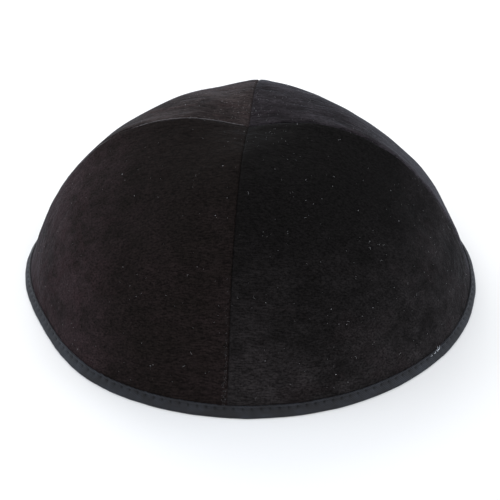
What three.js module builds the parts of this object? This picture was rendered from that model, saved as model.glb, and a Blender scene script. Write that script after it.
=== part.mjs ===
// A four-panel velvet kippah: a soft skullcap cut as four curved triangles that meet at the crown,
// its lower edge wrapped in a folded tape. It rests open side down on the tape.
// Millimetres. X runs left to right through the side seams, the front is -Y, +Z is up.
// The origin is the centre of the rim on the surface the cap rests on.

import * as THREE from "three";

// Size of the cap, measured on the outer face of the velvet.
const HALF_WIDTH = 87.0; // rim, centre to side seam
const HALF_DEPTH = 84.0; // rim, centre to front or back seam
const CROWN_HEIGHT = 64.0; // surface to the point where the seams meet

// Cloth.
const PANEL_THICKNESS = 1.4; // velvet and the cloth behind it
const TAPE_THICKNESS = 1.0; // one leg of the folded tape
const TAPE_HEIGHT = 3.9; // outer leg, surface to stitched edge
const INNER_TAPE_HEIGHT = 4.6; // inner leg
const GAP = 0.3; // kept between any two pieces
const PANEL_EDGE_HEIGHT = TAPE_THICKNESS + GAP; // lower edge of the panels, inside the tape

// The line of a seam from the crown to the rim: shares of the rim radius and of the crown height.
const SEAM_LINE = [
  { radius: 0.0, height: 1.0 },
  { radius: 0.15, height: 1.03 },
  { radius: 0.29, height: 1.03 },
  { radius: 0.48, height: 0.95 },
  { radius: 0.63, height: 0.81 },
  { radius: 0.75, height: 0.635 },
  { radius: 0.845, height: 0.44 },
  { radius: 0.92, height: 0.245 },
  { radius: 0.97, height: 0.09 },
  { radius: 1.0, height: 0.0 },
];

// The line down the middle of a panel, which sags a little below the seams near the crown.
const PANEL_MIDDLE_LINE = [
  { radius: 0.0, height: 1.0 },
  { radius: 0.12, height: 1.03 },
  { radius: 0.25, height: 1.03 },
  { radius: 0.44, height: 0.955 },
  { radius: 0.6, height: 0.8 },
  { radius: 0.75, height: 0.62 },
  { radius: 0.86, height: 0.435 },
  { radius: 0.93, height: 0.24 },
  { radius: 0.97, height: 0.09 },
  { radius: 1.0, height: 0.0 },
];

// How far the soft rim departs from an ellipse, as a share of its radius. Azimuth 0 is +X, 90 is +Y.
const RIM_WANDER = [
  { azimuth: 0, share: -0.012 },
  { azimuth: 30, share: -0.025 },
  { azimuth: 60, share: -0.015 },
  { azimuth: 90, share: 0.0 },
  { azimuth: 120, share: -0.005 },
  { azimuth: 150, share: -0.01 },
  { azimuth: 180, share: 0.0 },
  { azimuth: 210, share: -0.03 },
  { azimuth: 240, share: 0.005 },
  { azimuth: 270, share: 0.0 },
  { azimuth: 300, share: 0.0 },
  { azimuth: 330, share: 0.0 },
];

// Soft dents pressed into the panels. The run is 0 at the crown and 1 at the rim.
const DENTS = [
  { place: "front left, under the crown", azimuth: 222, run: 0.32, halfAngle: 30, halfRun: 0.15, depth: 1.6 },
  { place: "front right, under the crown", azimuth: 318, run: 0.34, halfAngle: 30, halfRun: 0.16, depth: 1.8 },
  { place: "low beside the front seam", azimuth: 259, run: 0.83, halfAngle: 6, halfRun: 0.05, depth: 1.2 },
  { place: "right shoulder", azimuth: 347, run: 0.56, halfAngle: 8, halfRun: 0.08, depth: 1.0 },
  { place: "beside the back seam", azimuth: 112, run: 0.3, halfAngle: 14, halfRun: 0.12, depth: 1.0 },
  { place: "low in the back right", azimuth: 62, run: 0.76, halfAngle: 15, halfRun: 0.1, depth: 1.2 },
];

// The crease along the two side seams, left from being folded in half when stored.
const FOLD_LIFT = 1.5; // how far the crease stands up
const FOLD_HALF_ANGLE = 20; // degrees from the side seam at which it has died away

// Fineness of the facets.
const PANEL_COLUMNS = 18; // seam to seam
const PANEL_ROWS = 16; // crown to rim
const TAPE_COLUMNS = 4 * PANEL_COLUMNS;

const QUARTER_TURN = Math.PI / 2;
const SLOPE_STEP = 0.01; // run either side of a place, to find which way the cloth slopes there
const RIM_SEARCH = { above: 0.6, below: 1.2, halvings: 40 }; // runs between which the rim's heights lie

const PANELS = [
  { name: "panel_back_right", quarter: 0 },
  { name: "panel_back_left", quarter: 1 },
  { name: "panel_front_left", quarter: 2 },
  { name: "panel_front_right", quarter: 3 },
];

const VELVET = { color: 0x1d191a, roughness: 0.95, metalness: 0.0 };
const TAPE = { color: 0x2b2d33, roughness: 0.6, metalness: 0.0 };

const seamCurve = curveOf(SEAM_LINE);
const middleCurve = curveOf(PANEL_MIDDLE_LINE);

function curveOf(rows) {
  return new THREE.SplineCurve(rows.map((row) => new THREE.Vector2(row.radius, row.height)));
}

// A point of a curve at a run. Past the rim the curve carries on straight, so that an offset
// surface can still be followed down to the floor.
function alongCurve(curve, run) {
  if (run <= 1) {
    return curve.getPoint(run);
  }
  const last = curve.getPoint(1);
  const slope = last.clone().sub(curve.getPoint(1 - SLOPE_STEP)).divideScalar(SLOPE_STEP);
  return last.addScaledVector(slope, run - 1);
}

// How much of the seam's own line a place follows: 1 on a seam, falling to 0 mid-panel, with a
// crease at the seam.
function seamShare(azimuth) {
  return 1 - Math.abs(Math.sin(2 * azimuth));
}

function rimRadius(azimuth) {
  return Math.hypot(HALF_WIDTH * Math.cos(azimuth), HALF_DEPTH * Math.sin(azimuth));
}

function rimWander(azimuth) {
  const step = (2 * Math.PI) / RIM_WANDER.length;
  const place = (((azimuth / step) % RIM_WANDER.length) + RIM_WANDER.length) % RIM_WANDER.length;
  const index = Math.floor(place);
  const within = place - index;
  const eased = within * within * (3 - 2 * within);
  const here = RIM_WANDER[index].share;
  const next = RIM_WANDER[(index + 1) % RIM_WANDER.length].share;
  return here + (next - here) * eased;
}

// The undented outer face in the upright plane through the axis: distance out and height.
function plainFace(azimuth, run) {
  const share = alongCurve(middleCurve, run).lerp(alongCurve(seamCurve, run), seamShare(azimuth));
  const wander = 1 + rimWander(azimuth) * share.x * share.x;
  return new THREE.Vector2(share.x * rimRadius(azimuth) * wander, share.y * CROWN_HEIGHT);
}

function angleBetween(a, b) {
  return Math.abs(Math.atan2(Math.sin(a - b), Math.cos(a - b)));
}

// How far the outer face is pressed in (negative) or stands up (positive) at a place.
function relief(azimuth, run) {
  let total = 0;
  for (const dent of DENTS) {
    const across = THREE.MathUtils.radToDeg(angleBetween(azimuth, THREE.MathUtils.degToRad(dent.azimuth)));
    const along = run - dent.run;
    total -= dent.depth * Math.exp(-((across / dent.halfAngle) ** 2) - (along / dent.halfRun) ** 2);
  }
  const offSideSeam = Math.min(angleBetween(azimuth, 0), angleBetween(azimuth, Math.PI));
  const nearness = Math.max(0, 1 - THREE.MathUtils.radToDeg(offSideSeam) / FOLD_HALF_ANGLE);
  const clearOfEnds = Math.sin(Math.PI * Math.min(1, run));
  return total + FOLD_LIFT * nearness * nearness * clearOfEnds ** 2;
}

// A point of the cloth at a depth below the outer face, kept in the upright plane of its azimuth.
function clothAt(azimuth, run, depth) {
  const ahead = plainFace(azimuth, run + SLOPE_STEP);
  const behind = plainFace(azimuth, Math.max(0, run - SLOPE_STEP));
  const along = ahead.sub(behind).normalize();
  const outward = run === 0 ? new THREE.Vector2(0, 1) : new THREE.Vector2(-along.y, along.x);
  return plainFace(azimuth, run).addScaledVector(outward, relief(azimuth, run) - depth);
}

// The run at which the cloth at a depth comes down to a height, for heights near the rim.
function runAtHeight(azimuth, height, depth) {
  let { above, below } = RIM_SEARCH;
  for (let turn = 0; turn < RIM_SEARCH.halvings; turn++) {
    const middle = (above + below) / 2;
    if (clothAt(azimuth, middle, depth).y > height) {
      above = middle;
    } else {
      below = middle;
    }
  }
  return (above + below) / 2;
}

// The upright plane's point turned into the shared frame.
function placed(azimuth, point) {
  const out = point.x / rimRadius(azimuth);
  const x = out * HALF_WIDTH * Math.cos(azimuth);
  const y = out * HALF_DEPTH * Math.sin(azimuth);
  return new THREE.Vector3(x, y, point.y);
}

// Moves a panel's edges half a gap away from the seam planes and leaves its rim where it was.
function clearOfSeams(point, quarter) {
  const middle = (quarter + 0.5) * QUARTER_TURN;
  const sideX = Math.sign(Math.cos(middle));
  const sideY = Math.sign(Math.sin(middle));
  const x = point.x * (1 - GAP / 2 / HALF_WIDTH) + (sideX * GAP) / 2;
  const y = point.y * (1 - GAP / 2 / HALF_DEPTH) + (sideY * GAP) / 2;
  return new THREE.Vector3(x, y, point.z);
}

// Collects vertices and triangles of one closed body. Four-cornered patches that come to a point
// lose the triangle that would have no area.
class Body {
  constructor() {
    this.points = [];
    this.indices = [];
  }

  add(point) {
    this.points.push(point);
    return this.points.length - 1;
  }

  triangle(a, b, c) {
    if (a !== b && b !== c && c !== a) {
      this.indices.push(a, b, c);
    }
  }

  patch(a, b, c, d) {
    this.triangle(a, b, c);
    this.triangle(a, c, d);
  }

  mesh(name, look) {
    const geometry = new THREE.BufferGeometry();
    const rounded = this.points.flatMap((p) => [p.x, p.y, p.z].map((v) => Math.round(v * 1e4) / 1e4));
    geometry.setAttribute("position", new THREE.Float32BufferAttribute(rounded, 3));
    geometry.setIndex(this.indices);
    geometry.computeVertexNormals();
    const mesh = new THREE.Mesh(geometry, new THREE.MeshStandardMaterial(look));
    mesh.name = name;
    return mesh;
  }
}

// One face of a panel as rows of vertex numbers. The first row is the single point at the crown.
function panelFace(body, quarter, depth) {
  const crown = quarter * QUARTER_TURN;
  const tip = body.add(clearOfSeams(placed(crown, clothAt(crown, 0, depth)), quarter));
  const rows = [new Array(PANEL_COLUMNS + 1).fill(tip)];
  for (let row = 1; row <= PANEL_ROWS; row++) {
    const numbers = [];
    for (let column = 0; column <= PANEL_COLUMNS; column++) {
      const azimuth = (quarter + column / PANEL_COLUMNS) * QUARTER_TURN;
      const lastRun = runAtHeight(azimuth, PANEL_EDGE_HEIGHT, depth);
      const point = clothAt(azimuth, (lastRun * row) / PANEL_ROWS, depth);
      numbers.push(body.add(clearOfSeams(placed(azimuth, point), quarter)));
    }
    rows.push(numbers);
  }
  return rows;
}

function makePanel({ name, quarter }) {
  const body = new Body();
  const outer = panelFace(body, quarter, 0);
  const inner = panelFace(body, quarter, PANEL_THICKNESS);
  for (let row = 0; row < PANEL_ROWS; row++) {
    for (let column = 0; column < PANEL_COLUMNS; column++) {
      const next = column + 1;
      body.patch(outer[row][column], outer[row + 1][column], outer[row + 1][next], outer[row][next]);
      body.patch(inner[row][column], inner[row][next], inner[row + 1][next], inner[row + 1][column]);
    }
    const last = PANEL_COLUMNS;
    body.patch(outer[row][0], inner[row][0], inner[row + 1][0], outer[row + 1][0]);
    body.patch(outer[row][last], outer[row + 1][last], inner[row + 1][last], inner[row][last]);
  }
  for (let column = 0; column < PANEL_COLUMNS; column++) {
    const next = column + 1;
    const edge = PANEL_ROWS;
    body.patch(outer[edge][column], inner[edge][column], inner[edge][next], outer[edge][next]);
  }
  return body.mesh(name, VELVET);
}

// The tape's section, walked once round: up the outside, over the outer leg, down into the slot,
// under the cloth's edge, up the inner side of the slot, over the inner leg and down to the floor.
function tapeSection() {
  const outside = -GAP - TAPE_THICKNESS;
  const slotOuter = -GAP;
  const slotInner = PANEL_THICKNESS + GAP;
  const inside = PANEL_THICKNESS + GAP + TAPE_THICKNESS;
  return [
    { depth: outside, height: 0 },
    { depth: outside, height: TAPE_HEIGHT / 2 },
    { depth: outside, height: TAPE_HEIGHT },
    { depth: slotOuter, height: TAPE_HEIGHT },
    { depth: slotOuter, height: TAPE_THICKNESS },
    { depth: slotInner, height: TAPE_THICKNESS },
    { depth: slotInner, height: INNER_TAPE_HEIGHT },
    { depth: inside, height: INNER_TAPE_HEIGHT },
    { depth: inside, height: INNER_TAPE_HEIGHT / 2 },
    { depth: inside, height: 0 },
  ];
}

function makeTape() {
  const body = new Body();
  const section = tapeSection();
  const columns = [];
  for (let column = 0; column < TAPE_COLUMNS; column++) {
    const azimuth = (column / TAPE_COLUMNS) * 2 * Math.PI;
    const numbers = section.map(({ depth, height }) => {
      const point = clothAt(azimuth, runAtHeight(azimuth, height, depth), depth);
      point.y = height;
      return body.add(placed(azimuth, point));
    });
    columns.push(numbers);
  }
  columns.forEach((here, column) => {
    const next = columns[(column + 1) % TAPE_COLUMNS];
    section.forEach((_, corner) => {
      const after = (corner + 1) % section.length;
      body.patch(here[corner], next[corner], next[after], here[after]);
    });
  });
  return body.mesh("rim_binding", TAPE);
}

const kippah = new THREE.Group();
kippah.name = "kippah";
for (const panel of PANELS) {
  kippah.add(makePanel(panel));
}
kippah.add(makeTape());

export default kippah;
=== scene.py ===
"""The looks of a four-panel velvet kippah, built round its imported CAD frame.

The cap's shape is a surface given by azimuth and run: azimuth 0 is +X and 90 degrees is +Y, and the
run goes from 0 at the crown to 1 at the rim. Everything on the cap is placed by those two numbers and
a depth below the outer face. Sizes are in metres, and the driving ones come from the frame's boxes.
"""

import math

import bpy
import numpy as np
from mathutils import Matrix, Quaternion, Vector


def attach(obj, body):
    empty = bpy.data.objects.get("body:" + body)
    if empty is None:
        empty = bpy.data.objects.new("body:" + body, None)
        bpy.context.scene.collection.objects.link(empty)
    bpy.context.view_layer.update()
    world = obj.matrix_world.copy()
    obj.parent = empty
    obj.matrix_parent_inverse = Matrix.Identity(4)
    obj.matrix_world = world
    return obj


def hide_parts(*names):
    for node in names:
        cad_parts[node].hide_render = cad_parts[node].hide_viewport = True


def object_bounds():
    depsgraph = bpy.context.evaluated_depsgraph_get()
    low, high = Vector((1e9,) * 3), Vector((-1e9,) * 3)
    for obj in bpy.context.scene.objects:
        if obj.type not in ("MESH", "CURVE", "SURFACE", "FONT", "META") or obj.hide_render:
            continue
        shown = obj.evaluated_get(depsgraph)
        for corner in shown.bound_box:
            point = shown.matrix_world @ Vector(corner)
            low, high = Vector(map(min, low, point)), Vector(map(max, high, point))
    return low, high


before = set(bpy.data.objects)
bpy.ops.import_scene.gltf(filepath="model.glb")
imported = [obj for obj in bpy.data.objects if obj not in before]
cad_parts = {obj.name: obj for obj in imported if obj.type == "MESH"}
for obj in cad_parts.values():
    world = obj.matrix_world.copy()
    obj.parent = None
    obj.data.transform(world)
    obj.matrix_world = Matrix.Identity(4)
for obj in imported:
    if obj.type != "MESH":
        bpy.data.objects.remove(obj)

MM = 0.001
SHEEN_TINT = (0.70, 0.82, 1.0, 1.0)
CAD_LOW, CAD_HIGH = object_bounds()

# Driving sizes, from the frame.
TAPE_STANDS_OUT = 1.43 * MM  # how far the CAD tape stands out past the velvet on the floor
HALF_WIDTH = -CAD_LOW.x - TAPE_STANDS_OUT
HALF_DEPTH = CAD_HIGH.y - TAPE_STANDS_OUT
CROWN_HEIGHT = CAD_HIGH.z / 1.04  # the seams rise this much above the place where they meet

# The line of a seam from the crown to the rim: share of the rim radius, share of the crown height.
SEAM_LINE = [
    (0.0, 1.0),
    (0.15, 1.03),
    (0.29, 1.03),
    (0.48, 0.95),
    (0.63, 0.81),
    (0.75, 0.635),
    (0.845, 0.44),
    (0.92, 0.245),
    (0.97, 0.09),
    (1.0, 0.0),
]

# The line down the middle of a panel, in the same shares.
PANEL_MIDDLE_LINE = [
    (0.0, 1.0),
    (0.12, 1.03),
    (0.25, 1.03),
    (0.44, 0.955),
    (0.6, 0.8),
    (0.75, 0.62),
    (0.86, 0.435),
    (0.93, 0.24),
    (0.97, 0.09),
    (1.0, 0.0),
]

# How far the soft rim departs from an ellipse, each 30 degrees from +X, as a share of its radius.
RIM_WANDER = [-0.012, -0.025, -0.015, 0.0, -0.005, -0.01, 0.0, -0.03, 0.005, 0.0, 0.0, 0.0]

# Soft dents: azimuth, run, half angle, half run, depth in mm.
DENTS = [
    (222, 0.32, 30, 0.15, 1.6),
    (318, 0.34, 30, 0.16, 1.8),
    (259, 0.83, 6, 0.05, 1.2),
    (347, 0.56, 8, 0.08, 1.0),
    (112, 0.30, 14, 0.12, 1.0),
    (62, 0.76, 15, 0.10, 1.2),
]

# The crease along the two side seams, left from being folded in half.
FOLD_LIFT = 1.5 * MM
FOLD_HALF_ANGLE = math.radians(20)

# Cloth and sewing.
CLOTH_THICKNESS = 1.2 * MM
SEAM_CLEARANCE = 0.005 * MM
ALLOWANCE_WIDTH = 7.0 * MM
ALLOWANCE_THICKNESS = 0.6 * MM
STITCH_PITCH = 3.1 * MM
SLOPE_STEP = 0.01

# The panels: name and quarter turn.
PANELS = [
    ("back_right", 0),
    ("back_left", 1),
    ("front_left", 2),
    ("front_right", 3),
]


# ---------------------------------------------------------------- the cap's surface

def along_line(rows, run):
    """Radius and height shares at a run: a uniform Catmull-Rom curve, carried on straight past the rim."""
    points = np.array(rows)
    last = len(points) - 1

    def at(place):
        index = np.minimum(place.astype(int), last - 1)
        t = (place - index)[..., None]
        before = points[np.maximum(index - 1, 0)]
        start = points[index]
        end = points[index + 1]
        after = points[np.minimum(index + 2, last)]
        leave = (end - before) / 2
        arrive = (after - start) / 2
        cubic = 2 * start - 2 * end + leave + arrive
        square = -3 * start + 3 * end - 2 * leave - arrive
        return cubic * t**3 + square * t**2 + leave * t + start

    inside = at(np.clip(run, 0, 1) * last)
    slope = (points[last] - at(np.array([(1 - SLOPE_STEP) * last]))[0]) / SLOPE_STEP
    return inside + np.maximum(run - 1, 0)[..., None] * slope


def rim_radius(azimuth):
    return np.hypot(HALF_WIDTH * np.cos(azimuth), HALF_DEPTH * np.sin(azimuth))


def rim_wander(azimuth):
    count = len(RIM_WANDER)
    place = np.mod(azimuth / (2 * np.pi) * count, count)
    index = np.floor(place).astype(int) % count
    t = place - np.floor(place)
    eased = t * t * (3 - 2 * t)
    shares = np.array(RIM_WANDER)
    return shares[index] + (shares[(index + 1) % count] - shares[index]) * eased


def plain_face(azimuth, run):
    """The undented outer face in the upright plane through the axis: distance out and height."""
    seam_share = (1 - np.abs(np.sin(2 * azimuth)))[..., None]
    middle = along_line(PANEL_MIDDLE_LINE, run)
    share = middle + (along_line(SEAM_LINE, run) - middle) * seam_share
    wander = 1 + rim_wander(azimuth) * share[..., 0] ** 2
    return np.stack([share[..., 0] * rim_radius(azimuth) * wander, share[..., 1] * CROWN_HEIGHT], -1)


def angle_between(a, b):
    return np.abs(np.arctan2(np.sin(a - b), np.cos(a - b)))


def relief(azimuth, run):
    """How far the outer face stands up or is pressed in."""
    total = np.zeros(np.broadcast(azimuth, run).shape)
    for centre, place, half_angle, half_run, depth in DENTS:
        across = angle_between(azimuth, math.radians(centre)) / math.radians(half_angle)
        total = total - depth * MM * np.exp(-(across**2) - ((run - place) / half_run) ** 2)
    off_seam = np.minimum(angle_between(azimuth, 0), angle_between(azimuth, np.pi))
    nearness = np.maximum(0, 1 - off_seam / FOLD_HALF_ANGLE)
    clear_of_ends = np.sin(np.pi * np.clip(run, 0, 1)) ** 2
    return total + FOLD_LIFT * nearness**2 * clear_of_ends


def cloth(azimuth, run, depth):
    """Points of the cloth at a depth below the outer face."""
    azimuth, run, depth = np.broadcast_arrays(azimuth, run, depth)
    ahead = plain_face(azimuth, run + SLOPE_STEP)
    behind = plain_face(azimuth, np.maximum(0, run - SLOPE_STEP))
    slope = ahead - behind
    slope = slope / np.linalg.norm(slope, axis=-1, keepdims=True)
    outward = np.stack([-slope[..., 1], slope[..., 0]], -1)
    outward = np.where((run <= 0)[..., None], np.array([0.0, 1.0]), outward)
    at = plain_face(azimuth, run) + outward * (relief(azimuth, run) - depth)[..., None]
    share = at[..., 0] / rim_radius(azimuth)
    x = share * HALF_WIDTH * np.cos(azimuth)
    y = share * HALF_DEPTH * np.sin(azimuth)
    return np.stack([x, y, at[..., 1]], -1)


def run_at_height(azimuth, height, depth):
    """The run at which the cloth at a depth comes down to a height near the rim."""
    azimuth, height, depth = np.broadcast_arrays(azimuth, height, depth)
    above = np.full(azimuth.shape, 0.6)
    below = np.full(azimuth.shape, 1.2)
    for _ in range(30):
        middle = (above + below) / 2
        higher = cloth(azimuth, middle, depth)[..., 2] > height
        above = np.where(higher, middle, above)
        below = np.where(higher, below, middle)
    return (above + below) / 2


def cloth_at_height(azimuth, height, depth):
    at = cloth(azimuth, run_at_height(azimuth, height, depth), depth)
    at[..., 2] = height
    return at


def smooth_step(low, high, value):
    t = np.clip((value - low) / (high - low), 0, 1)
    return t * t * (3 - 2 * t)


def waves(points, wavelength, seed, count=7):
    """Soft unevenness between -1 and 1: a few sine waves of about one wavelength in random directions."""
    rng = np.random.default_rng(seed)
    total = np.zeros(points.shape[:-1])
    for _ in range(count):
        direction = rng.normal(size=3)
        direction /= np.linalg.norm(direction)
        length = wavelength * rng.uniform(0.7, 1.5)
        total += np.sin(points @ direction * 2 * np.pi / length + rng.uniform(0, 2 * np.pi))
    return total / count * 1.6


# ---------------------------------------------------------------- meshes

def new_object(name, vertices, faces, materials, smooth=True):
    mesh = bpy.data.meshes.new(name)
    mesh.from_pydata(np.asarray(vertices).reshape(-1, 3).tolist(), [], faces)
    mesh.validate()
    for material in materials:
        mesh.materials.append(material)
    mesh.polygons.foreach_set("use_smooth", [smooth] * len(mesh.polygons))
    made = bpy.data.objects.new(name, mesh)
    bpy.context.scene.collection.objects.link(made)
    return made


def set_attribute(made, name, values):
    attribute = made.data.attributes.new(name, "FLOAT", "POINT")
    attribute.data.foreach_set("value", np.asarray(values, np.float32).ravel())


def grid_faces(numbers, flip=False):
    """Four-cornered faces over a grid of vertex numbers."""
    a, b = numbers[:-1, :-1], numbers[1:, :-1]
    c, d = numbers[1:, 1:], numbers[:-1, 1:]
    corners = [a, d, c, b] if flip else [a, b, c, d]
    return np.stack(corners, -1).reshape(-1, 4).tolist()


def tubes(paths, radii, sides):
    """One mesh of many closed tubes: paths is (tubes, points, 3) and radii is (tubes, points)."""
    count, length = paths.shape[:2]
    along = np.gradient(paths, axis=1)
    along /= np.linalg.norm(along, axis=-1, keepdims=True) + 1e-12
    helper = np.where(np.abs(along[..., 2:]) < 0.8, np.array([0.0, 0.0, 1.0]), np.array([1.0, 0.0, 0.0]))
    side = np.cross(along, helper)
    side /= np.linalg.norm(side, axis=-1, keepdims=True)
    up = np.cross(side, along)
    turn = np.arange(sides) * 2 * np.pi / sides
    ring = side[..., None, :] * np.cos(turn)[:, None] + up[..., None, :] * np.sin(turn)[:, None]
    vertices = paths[:, :, None, :] + ring * radii[..., None, None]
    numbers = np.arange(count * length * sides).reshape(count, length, sides)
    around = np.concatenate([numbers, numbers[..., :1]], -1)
    faces = []
    for one in around:
        faces += grid_faces(one)
        faces.append(one[0, :sides].tolist())
        faces.append(one[-1, :sides][::-1].tolist())
    return vertices.reshape(-1, 3), faces


# ---------------------------------------------------------------- materials

class Nodes:
    """A small helper that adds and joins a material's nodes."""

    def __init__(self, name):
        self.material = bpy.data.materials.new(name)
        self.material.use_nodes = True
        self.tree = self.material.node_tree
        self.shader = self.tree.nodes["Principled BSDF"]

    def add(self, kind, **values):
        node = self.tree.nodes.new(kind)
        for key, value in values.items():
            if key in node.inputs:
                node.inputs[key].default_value = value
            else:
                setattr(node, key, value)
        return node

    def join(self, output, target):
        self.tree.links.new(output, target)

    def place(self, scale):
        """Object coordinates scaled by an amount for each axis."""
        coordinates = self.add("ShaderNodeTexCoord")
        mapping = self.add("ShaderNodeMapping")
        mapping.inputs["Scale"].default_value = scale
        self.join(coordinates.outputs["Object"], mapping.inputs["Vector"])
        return mapping.outputs["Vector"]

    def noise(self, scale, detail=2.0, roughness=0.5, distortion=0.0):
        node = self.add("ShaderNodeTexNoise", Scale=1.0, Detail=detail, Roughness=roughness)
        node.inputs["Distortion"].default_value = distortion
        self.join(self.place(scale), node.inputs["Vector"])
        return node.outputs["Fac"]

    def spread(self, value, low, high, to_low=0.0, to_high=1.0):
        node = self.add("ShaderNodeMapRange", interpolation_type="SMOOTHSTEP")
        node.inputs["From Min"].default_value = low
        node.inputs["From Max"].default_value = high
        node.inputs["To Min"].default_value = to_low
        node.inputs["To Max"].default_value = to_high
        self.join(value, node.inputs["Value"])
        return node.outputs["Result"]

    def attribute(self, name):
        return self.add("ShaderNodeAttribute", attribute_name=name).outputs["Fac"]

    def sum(self, first, second, operation="ADD"):
        node = self.add("ShaderNodeMath", operation=operation)
        for socket, value in zip(node.inputs, (first, second)):
            if isinstance(value, (int, float)):
                socket.default_value = value
            else:
                self.join(value, socket)
        return node.outputs["Value"]

    def mix(self, factor, first, second, blend="MIX"):
        node = self.add("ShaderNodeMix", data_type="RGBA", blend_type=blend)
        for socket, value in ((node.inputs[0], factor), (node.inputs[6], first), (node.inputs[7], second)):
            if isinstance(value, (int, float)):
                socket.default_value = value
            elif isinstance(value, tuple):
                socket.default_value = (*value, 1.0)
            else:
                self.join(value, socket)
        return node.outputs[2]

    def bump(self, height, strength, distance, normal=None):
        node = self.add("ShaderNodeBump", Strength=strength, Distance=distance)
        self.join(height, node.inputs["Height"])
        if normal is not None:
            self.join(normal, node.inputs["Normal"])
        return node.outputs["Normal"]

    def set(self, **values):
        for key, value in values.items():
            self.shader.inputs[key.replace("_", " ")].default_value = value


def velvet_material(name, deep, pale, warm, sheen):
    """Short black pile: blotches, painted sheen and shade towards the pale colour, fine rows of the weave,
    and dusty tips.
    """
    n = Nodes(name)
    blotches = n.spread(n.noise((48, 48, 60), detail=3, roughness=0.55), 0.36, 0.66)
    clouds = n.spread(n.noise((110, 260, 260), detail=4, roughness=0.65), 0.34, 0.70)
    rust = n.spread(n.noise((36, 90, 90), detail=3, roughness=0.6, distortion=0.4), 0.50, 0.66)
    rows = n.noise((420, 2100, 2100), detail=2, roughness=0.6)
    grain = n.noise((1500, 1500, 1500), detail=3, roughness=0.75)
    uneven = n.sum(n.sum(blotches, clouds), 1.0, "SUBTRACT")
    # Painted sheen and shade from a vertex attribute: it sets how far the colour goes from deep to pale, how
    # strongly the blotches swing and how much rusty tint shows.
    swing = n.sum(n.sum(n.attribute("painted_light"), 0.75, "MULTIPLY"), 0.12)
    lean = n.sum(n.sum(n.attribute("painted_light"), 0.08), n.sum(swing, uneven, "MULTIPLY"))
    colour = n.mix(lean, deep, pale)
    rust_in_painted_light = n.sum(n.sum(rust, n.attribute("painted_light"), "MULTIPLY"), 0.8, "MULTIPLY")
    colour = n.mix(rust_in_painted_light, colour, warm)
    speckle = n.sum(n.sum(rows, 0.5, "MULTIPLY"), n.sum(grain, 0.5, "MULTIPLY"))
    speckle = n.spread(speckle, 0.34, 0.68, 0.35, 1.75)
    shade = n.add("ShaderNodeCombineColor")
    for socket in shade.inputs:
        n.join(speckle, socket)
    colour = n.mix(1.0, colour, shade.outputs["Color"], "MULTIPLY")
    colour = n.mix(n.attribute("crush"), colour, (0.030, 0.028, 0.030))
    n.join(colour, n.shader.inputs["Base Color"])
    height = n.sum(n.sum(grain, 0.6, "MULTIPLY"), n.sum(rows, 0.4, "MULTIPLY"))
    soft = n.bump(clouds, 0.35, 0.6 * MM)
    n.join(n.bump(height, 0.55, 0.25 * MM, soft), n.shader.inputs["Normal"])
    n.set(Roughness=0.95, Sheen_Weight=sheen, Sheen_Roughness=0.22)
    n.set(Specular_IOR_Level=0.05, Sheen_Tint=SHEEN_TINT)
    return n.material


def backing_material():
    """The plain woven cloth on the inside."""
    n = Nodes("backing_cloth")
    weave = n.noise((1300, 1300, 420), detail=2, roughness=0.6)
    cross = n.noise((420, 420, 1500), detail=2, roughness=0.6)
    threads = n.sum(n.sum(weave, 0.5, "MULTIPLY"), n.sum(cross, 0.5, "MULTIPLY"))
    colour = n.mix(n.spread(threads, 0.35, 0.65), (0.010, 0.010, 0.011), (0.028, 0.027, 0.029))
    n.join(colour, n.shader.inputs["Base Color"])
    n.join(n.bump(threads, 0.5, 0.15 * MM), n.shader.inputs["Normal"])
    n.set(Roughness=0.85, Sheen_Weight=0.08, Sheen_Roughness=0.5, Specular_IOR_Level=0.25)
    return n.material


def tape_material():
    """Slate black tape with a fine slanting rib."""
    n = Nodes("rim_tape")
    rib = n.add("ShaderNodeTexWave", wave_type="BANDS", bands_direction="DIAGONAL", wave_profile="SIN")
    rib.inputs["Scale"].default_value = 1.0
    rib.inputs["Distortion"].default_value = 1.2
    rib.inputs["Detail"].default_value = 2.0
    n.join(n.place((620, 620, 620)), rib.inputs["Vector"])
    grain = n.noise((1700, 1700, 1700), detail=2, roughness=0.7)
    patches = n.spread(n.noise((150, 150, 300), detail=4, roughness=0.7), 0.34, 0.70)
    colour = n.mix(patches, (0.0090, 0.0092, 0.0110), (0.0170, 0.0190, 0.0245))
    threads = n.sum(n.sum(rib.outputs["Fac"], 0.45, "MULTIPLY"), n.sum(grain, 0.55, "MULTIPLY"))
    shade = n.spread(threads, 0.25, 0.75, 0.5, 1.6)
    grey = n.add("ShaderNodeCombineColor")
    for socket in grey.inputs:
        n.join(shade, socket)
    colour = n.mix(1.0, colour, grey.outputs["Color"], "MULTIPLY")
    # Painted shade: darker in the needle holes, along the stitch row and at the bottom edge by the floor.
    colour = n.mix(n.attribute("painted_shade"), colour, (0.0015, 0.0015, 0.0025))
    n.join(colour, n.shader.inputs["Base Color"])
    n.join(n.bump(threads, 0.45, 0.12 * MM), n.shader.inputs["Normal"])
    n.set(Roughness=0.62, Sheen_Weight=0.10, Sheen_Roughness=0.3, Specular_IOR_Level=0.2)
    n.set(Sheen_Tint=(0.62, 0.72, 1.0, 1.0))
    return n.material


def thread_material(name, colour, roughness=0.75):
    n = Nodes(name)
    grain = n.noise((2500, 2500, 2500), detail=1)
    low = tuple(0.7 * c for c in colour)
    high = tuple(min(1.0, 1.3 * c) for c in colour)
    n.join(n.mix(n.spread(grain, 0.35, 0.65), low, high), n.shader.inputs["Base Color"])
    n.set(Roughness=roughness, Specular_IOR_Level=0.3)
    return n.material


def floor_material():
    n = Nodes("pale_floor")
    patches = n.noise((6, 6, 6), detail=2)
    n.join(n.mix(patches, (0.86, 0.86, 0.86), (0.90, 0.90, 0.90)), n.shader.inputs["Base Color"])
    n.set(Roughness=0.9, Specular_IOR_Level=0.1)
    return n.material


# ---------------------------------------------------------------- velvet panels

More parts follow.
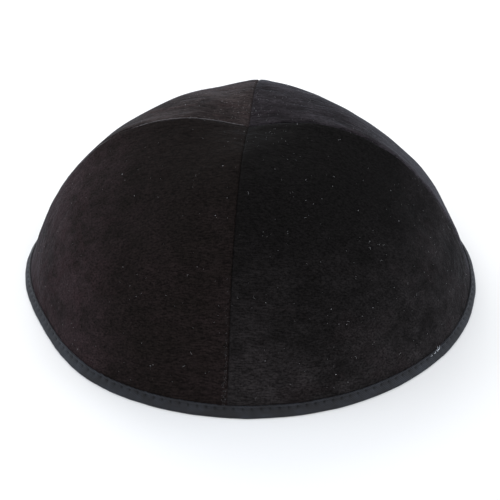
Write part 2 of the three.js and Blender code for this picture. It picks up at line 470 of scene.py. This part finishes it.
# Distances from a seam at which a panel has a column of its grid.
NEAR_SEAM = np.array([0, 0.12, 0.25, 0.4, 0.58, 0.8, 1.05, 1.35, 1.7, 2.2, 2.8, 3.6, 4.6, 5.8, 7.2]) * MM
MIDDLE_COLUMNS = 72
PANEL_ROWS = 150
SEAM_GROOVE_DEPTH = 0.55 * MM
SEAM_GROOVE_HALF_WIDTH = 0.34 * MM
PANEL_EDGE_HEIGHT = 0.9 * MM
CLEAR_OF_TAPE_RUN = 0.90  # below this the cloth lies flat between the legs of the tape


def panel_azimuths(quarter, run):
    """The azimuths of a panel's columns at each run, close together along both seams."""
    out = plain_face(np.array([(quarter + 0.5) * np.pi / 2]), run)[:, 0]
    near = NEAR_SEAM * np.minimum(1, out / (3 * NEAR_SEAM[-1]))[:, None]
    angle = np.arcsin(near / np.maximum(out, 1e-6)[:, None])
    share = np.linspace(0, 1, MIDDLE_COLUMNS + 2)[1:-1]
    inner = angle[:, -1:] + (np.pi / 2 - 2 * angle[:, -1:]) * share
    columns = np.concatenate([angle, inner, np.pi / 2 - angle[:, ::-1]], 1)
    return quarter * np.pi / 2 + columns


def seam_distance(points):
    """Distance to the plane of the side seams and to that of the front and back seams."""
    return np.abs(points[..., 1]), np.abs(points[..., 0])


def surface_depth(azimuth, run):
    """How deep the pile's face lies below the plain outer face: seam grooves, puckers and unevenness."""
    at = cloth(azimuth, run, 0.0)
    to_side, to_front = seam_distance(at)
    nearest = np.minimum(to_side, to_front)
    along = np.linalg.norm(at, axis=-1)
    pucker = 0.16 * MM * waves(at, 9 * MM, 11) * np.exp(-((nearest / (5 * MM)) ** 2))
    groove = SEAM_GROOVE_DEPTH * np.exp(-((nearest / SEAM_GROOVE_HALF_WIDTH) ** 2))
    allowance = -0.22 * MM * np.exp(-(((nearest - 2.6 * MM) / (1.8 * MM)) ** 2))
    uneven = 0.38 * MM * waves(at, 34 * MM, 12) + 0.14 * MM * waves(at, 14 * MM, 13)
    calm = smooth_step(CLEAR_OF_TAPE_RUN, 0.80, run) * np.minimum(1, along / along.max())
    return (groove + pucker + uneven + allowance) * calm


def panel_face(quarter, rows, depth_of):
    """A face of a panel, from the crown to its lower edge: its points, azimuths and runs."""
    azimuth = panel_azimuths(quarter, rows)
    edge_depth = depth_of(azimuth[-1:], np.array([[1.0]]))[0]
    last = run_at_height(azimuth[-1], PANEL_EDGE_HEIGHT, edge_depth)
    run = rows[:, None] * last[None, :]
    return cloth(azimuth, run, depth_of(azimuth, run)), azimuth, run


def painted_light_of(points, azimuth, run, quarter):
    """Painted sheen and shade: how far each panel's colour goes from deep to pale, by panel, height and
    side.
    """
    x = points[..., 0] / HALF_WIDTH
    low = smooth_step(0.45, 0.95, run)
    high = smooth_step(0.60, 0.20, run)
    left = smooth_step(-0.35, -0.85, x)
    right = smooth_step(0.55, 0.95, x)
    # Painted sheen and shade per quarter: back panels paler, the front left's left edge and the right
    # panels' right edges lighter, front panels darker high up, front right lighter low down.
    painted_light_by_panel = {
        0: 0.35 + 0.25 * right - 0.1 * high,
        1: 0.45 - 0.1 * left,
        2: 0.05 - 0.15 * high + 0.9 * left,
        3: 0.05 - 0.35 * high + 0.40 * low + 0.3 * right,
    }
    return painted_light_by_panel[quarter] + 0 * azimuth


def make_panel(name, quarter, velvet, backing):
    """A closed quarter of the cap: velvet outside, backing inside with its sewn edges turned in."""
    rows = np.concatenate([[0.0], np.linspace(0.004, 1.0, PANEL_ROWS)])
    outer, azimuth, run = panel_face(quarter, rows, surface_depth)

    def inner_depth(angle, place):
        at = cloth(angle, place, 0.0)
        nearest = np.minimum(*seam_distance(at))
        allowance = ALLOWANCE_THICKNESS * smooth_step(ALLOWANCE_WIDTH, ALLOWANCE_WIDTH - 0.8 * MM, nearest)
        allowance *= smooth_step(CLEAR_OF_TAPE_RUN, 0.84, place) * smooth_step(0.03, 0.08, place)
        return CLOTH_THICKNESS + allowance + 0 * angle

    inner, _, _ = panel_face(quarter, rows, inner_depth)
    middle = (quarter + 0.5) * np.pi / 2
    away = SEAM_CLEARANCE * np.array([np.sign(np.cos(middle)), np.sign(np.sin(middle)), 0.0])
    points = np.concatenate([(outer + away).reshape(-1, 3), (inner + away).reshape(-1, 3)])
    shape = outer.shape[:2]
    top = np.arange(shape[0] * shape[1]).reshape(shape)
    under = top + top.size
    top[0, :] = top[0, 0]
    under[0, :] = under[0, 0]
    faces = grid_faces(top)
    outer_count = len(faces)
    faces += grid_faces(under, flip=True)
    faces += grid_faces(np.stack([under[:, 0], top[:, 0]], 1))
    faces += grid_faces(np.stack([top[:, -1], under[:, -1]], 1))
    faces += grid_faces(np.stack([top[-1], under[-1]], 1).T)
    faces = [tidy for tidy in ([*dict.fromkeys(face)] for face in faces)]
    made = new_object("velvet_" + name, points, faces, [velvet, backing])
    backs = np.zeros(len(made.data.polygons), np.int32)
    backs[outer_count:] = 1
    made.data.polygons.foreach_set("material_index", backs)
    to_side, to_front = seam_distance(outer)
    nearest = np.minimum(to_side, to_front)
    crush = 0.35 * np.exp(-(((nearest - 1.0 * MM) / (0.7 * MM)) ** 2))
    crush *= smooth_step(0.45, 0.85, run) * np.clip(waves(outer, 3 * MM, 21), 0, 1)
    # Painted sheen and shade, kept as a vertex attribute on the outer face only.
    painted_light = painted_light_of(outer, azimuth, run, quarter)
    zeros = np.zeros(inner.shape[:2])
    set_attribute(made, "crush", np.concatenate([crush.ravel(), zeros.ravel()]))
    set_attribute(made, "painted_light", np.concatenate([painted_light.ravel(), zeros.ravel()]))
    return made


# ---------------------------------------------------------------- the rim's tape

TAPE_COLUMNS_PER_STITCH = 10
TAPE_JOIN = math.radians(101)  # where the tape's ends lap, just left of the back seam
TAPE_LAP = 9.0 * MM

# The tape's outer leg seen above the floor in mm, each 30 degrees from +X: it was folded unevenly.
TAPE_TOPS = [3.1, 3.3, 3.7, 3.8, 3.8, 3.6, 3.4, 3.5, 3.9, 3.9, 3.9, 3.3]
STITCH_SHARE = 0.74  # height of the stitches as a share of the tape's height

# The tape's section: depth in mm and share of its height there, from the outer top edge round.
TAPE_SECTION = [
    (-0.10, 0.95),
    (-0.30, 1.00),
    (-0.56, 0.99),
    (-0.70, 0.93),
    (-0.62, 0.84),
    (-0.46, 0.74),
    (-0.66, 0.64),
    (-0.88, 0.54),
    (-1.04, 0.44),
    (-1.14, 0.34),
    (-1.17, 0.24),
    (-1.10, 0.14),
    (-0.94, 0.07),
    (-0.72, 0.02),
    (-0.40, 0.00),
    (0.10, 0.00),
    (1.10, 0.00),
    (1.66, 0.005),
    (1.99, 0.04),
    (2.20, 0.10),
    (2.30, 0.20),
    (2.32, 0.34),
    (2.26, 0.48),
    (2.08, 0.62),
    (1.76, 0.74),
    (1.90, 0.83),
    (1.86, 0.92),
    (1.58, 0.97),
    (1.30, 0.94),
    (1.28, 0.60),
    (1.28, 0.14),
    (-0.06, 0.14),
    (-0.06, 0.60),
]


def tape_top(azimuth):
    """Height of the tape's outer top edge."""
    place = np.mod(azimuth / (2 * np.pi), 1) * len(TAPE_TOPS)
    index = np.floor(place).astype(int) % len(TAPE_TOPS)
    tops = np.array(TAPE_TOPS) * MM
    t = place - np.floor(place)
    return tops[index] + (tops[(index + 1) % len(tops)] - tops[index]) * t * t * (3 - 2 * t)


def rim_length():
    """Length round the rim at the height of the stitches."""
    azimuth = np.linspace(0, 2 * np.pi, 721)
    line = cloth_at_height(azimuth, STITCH_SHARE * tape_top(azimuth), 0.0)
    return np.linalg.norm(np.diff(line, axis=0), axis=1).sum()


def even_azimuths(count):
    """Azimuths that divide the rim into equal lengths."""
    fine = np.linspace(0, 2 * np.pi, 2881)
    line = cloth_at_height(fine, STITCH_SHARE * tape_top(fine), 0.0)
    along = np.concatenate([[0], np.cumsum(np.linalg.norm(np.diff(line, axis=0), axis=1))])
    return np.interp(np.arange(count) / count * along[-1], along, fine)


def lap(azimuth):
    """1 where the tape's end lies over its beginning, 0 elsewhere."""
    across = angle_between(azimuth, TAPE_JOIN) * HALF_DEPTH
    return smooth_step(TAPE_LAP / 2 + 0.25 * MM, TAPE_LAP / 2, across)


def needle_hole(stitch_phase, share):
    """1 in the middle of a needle hole and 0 away from it. Holes are at whole numbers of the phase."""
    across = (stitch_phase - np.round(stitch_phase)) / 0.11
    return np.exp(-(across**2) - ((share - STITCH_SHARE) / 0.10) ** 2)


def tape_depth(azimuth, depth, share, stitch_phase):
    """The tape's depth with its puckers: it is drawn in at each stitch and wanders a little."""
    sign = np.where(depth > CLOTH_THICKNESS / 2, 1.0, -1.0)
    at_stitch = np.exp(-(((share - STITCH_SHARE) / 0.3) ** 2))
    pucker = -0.09 * MM * np.cos(2 * np.pi * stitch_phase) * at_stitch
    pucker = pucker - 0.22 * MM * needle_hole(stitch_phase, share)
    place = np.stack([np.cos(azimuth), np.sin(azimuth), 0 * azimuth], -1) * HALF_WIDTH
    swell = 0.10 * MM * waves(place, 13 * MM, 31) + 0.05 * MM * waves(place, 5 * MM, 32)
    outside = np.abs(depth - CLOTH_THICKNESS / 2) > CLOTH_THICKNESS / 2 + 0.2 * MM
    proud = np.where(outside, swell + pucker + 0.28 * MM * lap(azimuth), 0.0)
    return depth + sign * proud


def make_tape(material, stitch_count):
    """The folded tape: its section carried round the rim, with painted shade in the needle holes, along the
    stitch row and at its bottom edge.
    """
    section = np.array(TAPE_SECTION)
    share = section[None, :, 1]
    columns = stitch_count * TAPE_COLUMNS_PER_STITCH
    azimuth = even_azimuths(columns)[:, None]
    phase = (np.arange(columns) / TAPE_COLUMNS_PER_STITCH)[:, None]
    place = np.stack([np.cos(azimuth), np.sin(azimuth), 0 * azimuth], -1) * HALF_WIDTH
    height = tape_top(azimuth) * share * (1 + 0.03 * waves(place, 22 * MM, 33))
    depth = tape_depth(azimuth, section[None, :, 0] * MM, share, phase)
    points = cloth_at_height(azimuth, height, depth)
    numbers = np.arange(points.shape[0] * points.shape[1]).reshape(points.shape[:2])
    ring = np.concatenate([numbers, numbers[:1]], 0)
    ring = np.concatenate([ring, ring[:, :1]], 1)
    made = new_object("rim_tape", points, grid_faces(ring, flip=True), [material])
    # Painted shade on the tape: in the needle holes, along the stitch row and at the bottom edge.
    row = np.exp(-(((share - STITCH_SHARE) / 0.08) ** 2)) + 0 * phase
    edge = smooth_step(0.10, 0.02, share)
    painted_shade = 1.8 * needle_hole(phase, share) + 0.20 * row + 0.6 * edge
    set_attribute(made, "painted_shade", np.clip(painted_shade, 0, 1))
    return made


def stitch_row(name, azimuths, depth, reach, material):
    """A row of short stitches: each rises from one needle hole and dips into the next."""
    step = np.median(np.diff(azimuths))
    share = np.linspace(-0.38, 0.38, 9)
    azimuth = azimuths[:, None] + step * share
    arch = np.cos(share / 0.80 * np.pi) ** 0.5
    height = STITCH_SHARE * tape_top(azimuth)
    paths = cloth_at_height(azimuth, height, depth + reach * (1 - arch) + 0 * azimuth)
    radii = np.full(paths.shape[:2], 0.13 * MM) * (0.6 + 0.4 * arch)
    points, faces = tubes(paths, radii, 6)
    return new_object(name, points, faces, [material])


# ---------------------------------------------------------------- lint, fibres and the loose thread

# Kinds of lint: how many, length, radius, height over the pile, how curled.
LINT_SIZES = [
    (560, 0.18 * MM, 0.055 * MM, 0.03 * MM, 0.2),
    (120, 0.28 * MM, 0.085 * MM, 0.04 * MM, 0.2),
    (16, 0.40 * MM, 0.13 * MM, 0.06 * MM, 0.3),
    (60, 1.10 * MM, 0.030 * MM, 0.08 * MM, 1.1),
]

TUFT_AZIMUTH = 325.5

# Strands of the frayed end: degrees from its middle, degrees it leans, height of its two ends in mm.
TUFT_STRANDS = [
    (0.0, 0.6, 2.9, 4.4),
    (0.0, 1.5, 3.0, 3.9),
    (0.2, -0.4, 2.7, 3.6),
    (-1.3, 0.7, 3.0, 3.3),
    (-2.1, -0.5, 3.2, 3.0),
]

FUZZ_COUNT = 150
EDGE_STRANDS = 3


def on_face(azimuth, run):
    """Points of the velvet's outer face and the directions out of it."""
    step = 0.004
    here = cloth(azimuth, run, surface_depth(azimuth, run))
    east = cloth(azimuth + step, run, 0.0) - cloth(azimuth - step, run, 0.0)
    down = cloth(azimuth, run + step, 0.0) - cloth(azimuth, run - step, 0.0)
    out = np.cross(down, east)
    out /= np.linalg.norm(out, axis=-1, keepdims=True)
    east /= np.linalg.norm(east, axis=-1, keepdims=True)
    return here, out, east


def scattered(rng, count):
    """Azimuths and runs spread over the cap, denser high on the front right and on the back's crown."""
    azimuth = rng.uniform(0, 2 * np.pi, count)
    run = np.sqrt(rng.uniform(0.003, 0.80, count))
    lot = rng.uniform(size=count)
    front = lot < 0.14
    back = lot > 0.72
    azimuth = np.where(front, np.radians(rng.normal(312, 28, count)), azimuth)
    run = np.where(front, rng.uniform(0.10, 0.70, count), run)
    azimuth = np.where(back, np.radians(rng.normal(90, 45, count)), azimuth)
    run = np.where(back, rng.uniform(0.06, 0.50, count), run)
    return azimuth, run


def make_lint(material):
    """White dust: short flat specks lying in the pile, and curled fibres on it."""
    rng = np.random.default_rng(5)
    parts = []
    for count, length, radius, lift, curl in LINT_SIZES:
        azimuth, run = scattered(rng, count)
        here, out, east = on_face(azimuth, run)
        turn = rng.uniform(0, 2 * np.pi, count)[:, None]
        along = east * np.cos(turn) + np.cross(out, east) * np.sin(turn)
        aside = np.cross(out, along)
        size = length * rng.uniform(0.6, 1.4, count)[:, None, None]
        place = np.linspace(-0.5, 0.5, 6)[None, :, None]
        bend = curl * rng.uniform(-1, 1, count)[:, None, None] * (place**2 - 0.1)
        rise = lift + 0.5 * radius + 0.15 * size * curl * np.abs(place) * rng.uniform(0, 1, (count, 1, 1))
        paths = here[:, None] + size * (place * along[:, None] + bend * aside[:, None])
        paths = paths + rise * out[:, None]
        taper = np.sqrt(np.clip(1 - (2 * place[..., 0]) ** 2, 0.05, 1))
        radii = radius * rng.uniform(0.6, 1.3, (count, 1)) * taper
        parts.append(tubes(paths, radii, 5))
    return joined("lint", parts, [material])


def joined(name, parts, materials):
    """One object of several lots of vertices and faces."""
    points = np.concatenate([p for p, _ in parts])
    faces = []
    offset = 0
    for part, part_faces in parts:
        faces += [[corner + offset for corner in face] for face in part_faces]
        offset += len(part)
    return new_object(name, points, faces, materials)


def make_seam_fuzz(material):
    """Pile tips pushed up along the left of the front seam, towards the rim."""
    rng = np.random.default_rng(7)
    count = FUZZ_COUNT
    run = rng.triangular(0.55, 0.97, 0.985, count)
    azimuth = np.radians(270) - (0.5 * MM + np.abs(rng.normal(0, 0.7 * MM, count))) / HALF_DEPTH
    here, out, east = on_face(azimuth, run)
    lean = rng.normal(0, 0.5, (count, 1)) * east + out + rng.normal(0, 0.6, (count, 1)) * np.cross(out, east)
    reach = rng.uniform(0.15, 0.40, (count, 1, 1)) * MM
    t = np.linspace(0, 1, 4)[None, :, None]
    paths = here[:, None] + (t * reach) * lean[:, None]
    radii = rng.uniform(0.045, 0.085, (count, 1)) * MM * np.linspace(1.0, 0.5, 4)
    return new_object("seam_fuzz", *tubes(paths, radii, 5), [material])


def make_seam_highlight_strands(material):
    """Pale strands along the left side seam: a painted highlight where the seam's ridge catches the light.
    """
    rng = np.random.default_rng(8)
    run = np.linspace(0.02, 0.62, 160)
    azimuth = np.pi + np.radians(0.35) * np.sin(run * 40) + 0.25 * MM / np.maximum(run * HALF_WIDTH, 3 * MM)
    here, out, _ = on_face(azimuth, run)
    base = cloth(azimuth, run, 0.05 * MM)
    strands = []
    for strand in range(EDGE_STRANDS):
        wander = rng.normal(0, 0.05 * MM, (len(run), 1)) + 0.08 * MM * (strand - 1)
        strands.append(base + out * (0.04 * MM + np.abs(wander)) + np.array([0.0, 1.0, 0.0]) * wander)
    shape = (EDGE_STRANDS, len(run))
    radii = np.full(shape, 0.065 * MM) * rng.uniform(0.5, 1.3, shape)
    return new_object("side_seam_painted_light_edge", *tubes(np.stack(strands), radii, 5), [material])


def make_loose_thread(material):
    """A small frayed end of white thread caught over the tape at the front right."""
    rng = np.random.default_rng(9)
    centre = np.radians(TUFT_AZIMUTH)
    strands = []
    for start, lean, low, high in TUFT_STRANDS:
        t = np.linspace(0, 1, 7)
        azimuth = centre + np.radians(start + lean * t)
        height = (low + (high - low) * t) * MM
        depth = -(0.75 + 0.35 * np.sin(np.pi * t)) * MM
        strands.append(cloth_at_height(azimuth, height, depth) + rng.normal(0, 0.03 * MM, (7, 3)))
    paths = np.stack(strands)
    radii = np.full(paths.shape[:2], 0.085 * MM) * np.linspace(1.2, 0.5, 7)
    return new_object("loose_thread", *tubes(paths, radii, 6), [material])


# ---------------------------------------------------------------- camera, light and floor

VIEW_AZIMUTH = math.radians(5.8)
VIEW_ELEVATION = math.radians(36.1)
VIEW_ROLL = math.radians(-0.6)
VIEW_DISTANCE = 5.74  # in half widths of the cap
VIEW_AIM_HEIGHT = 0.131  # share of the cap's height
LENS_MM = 93.0
SENSOR_MM = 36.0


def make_camera():
    data = bpy.data.cameras.new("camera")
    data.lens = LENS_MM
    data.sensor_width = SENSOR_MM
    camera = bpy.data.objects.new("camera", data)
    bpy.context.scene.collection.objects.link(camera)
    level = math.cos(VIEW_ELEVATION)
    back = Vector((
        math.sin(VIEW_AZIMUTH) * level,
        -math.cos(VIEW_AZIMUTH) * level,
        math.sin(VIEW_ELEVATION),
    ))
    aim = Vector((0, 0, VIEW_AIM_HEIGHT * CAD_HIGH.z))
    camera.location = aim + back * VIEW_DISTANCE * HALF_WIDTH
    camera.rotation_mode = "QUATERNION"
    camera.rotation_quaternion = (-back).to_track_quat("-Z", "Y") @ Quaternion((0, 0, 1), VIEW_ROLL)
    bpy.context.scene.camera = camera


def soft_light(name, place, size, power, colour):
    """A square soft light aimed at the cap. The place is in half widths of the cap."""
    data = bpy.data.lights.new(name, "AREA")
    data.size = size
    data.energy = power
    data.color = colour
    light = bpy.data.objects.new(name, data)
    light.location = Vector(place) * HALF_WIDTH
    light.rotation_mode = "QUATERNION"
    towards = Vector((0, 0, CAD_HIGH.z / 2)) - light.location
    light.rotation_quaternion = towards.to_track_quat("-Z", "Y")
    bpy.context.scene.collection.objects.link(light)


def make_studio():
    world = bpy.data.worlds.new("studio")
    world.use_nodes = True
    background = world.node_tree.nodes["Background"]
    background.inputs["Color"].default_value = (0.97, 0.98, 1.0, 1.0)
    background.inputs["Strength"].default_value = 0.9
    bpy.context.scene.world = world
    soft_light("back", (-3.5, 8.0, 5.0), 0.6, 4.0, (1.0, 0.98, 0.95))
    soft_light("right", (8.0, 0.5, 2.5), 0.5, 2.0, (0.75, 0.86, 1.0))
    soft_light("left", (-8.0, -0.5, 2.0), 0.5, 2.5, (0.72, 0.84, 1.0))
    soft_light("front", (2.0, -8.0, 5.0), 0.7, 1.5, (1.0, 0.99, 0.97))
    size = 60 * HALF_WIDTH
    corners = [(-size, -size, 0), (size, -size, 0), (size, size, 0), (-size, size, 0)]
    floor = new_object("floor", corners, [[0, 1, 2, 3]], [floor_material()], smooth=False)
    bpy.context.scene.view_settings.view_transform = "Standard"


# ---------------------------------------------------------------- assembly

# The velvet of each panel: its deep, pale and rusty colours and how much its pile glows.
# The back panels' colours are paler than the front ones: painted sheen, lighter from every side.
VELVETS = {
    "front_left": ((0.0066, 0.0050, 0.0046), (0.0210, 0.0138, 0.0150), (0.0170, 0.0095, 0.0105), 0.07),
    "front_right": ((0.0043, 0.0039, 0.0039), (0.0180, 0.0160, 0.0168), (0.0140, 0.0105, 0.0112), 0.05),
    "back_left": ((0.0074, 0.0058, 0.0058), (0.0380, 0.0300, 0.0300), (0.0400, 0.0230, 0.0235), 0.06),
    "back_right": ((0.0066, 0.0055, 0.0066), (0.0380, 0.0330, 0.0390), (0.0300, 0.0220, 0.0265), 0.08),
}


def finish_piece(piece):
    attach(piece, "root")


def build_cap():
    backing = backing_material()
    for name, quarter in PANELS:
        panel = make_panel(name, quarter, velvet_material("velvet_" + name, *VELVETS[name]), backing)
        finish_piece(panel)
        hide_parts("panel_" + name)
    stitch_count = round(rim_length() / STITCH_PITCH)
    tape = make_tape(tape_material(), stitch_count)
    finish_piece(tape)
    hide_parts("rim_binding")
    thread = thread_material("sewing_thread", (0.0130, 0.0140, 0.0180))
    half_stitches = even_azimuths(2 * stitch_count)[1::2]
    outside = stitch_row("outer_topstitch", half_stitches, -0.52 * MM, 0.25 * MM, thread)
    inside = stitch_row("inner_topstitch", half_stitches, 1.82 * MM, -0.25 * MM, thread)
    finish_piece(outside)
    finish_piece(inside)
    dust = thread_material("lint", (0.24, 0.24, 0.25))
    finish_piece(make_lint(dust))
    finish_piece(make_seam_fuzz(thread_material("pile_tips", (0.075, 0.072, 0.075))))
    # Pale strands: a painted highlight along the left side seam.
    finish_piece(make_seam_highlight_strands(thread_material("painted_light_edge", (0.10, 0.095, 0.10))))
    finish_piece(make_loose_thread(thread_material("loose_thread", (0.62, 0.66, 0.72))))


build_cap()
make_studio()
make_camera()
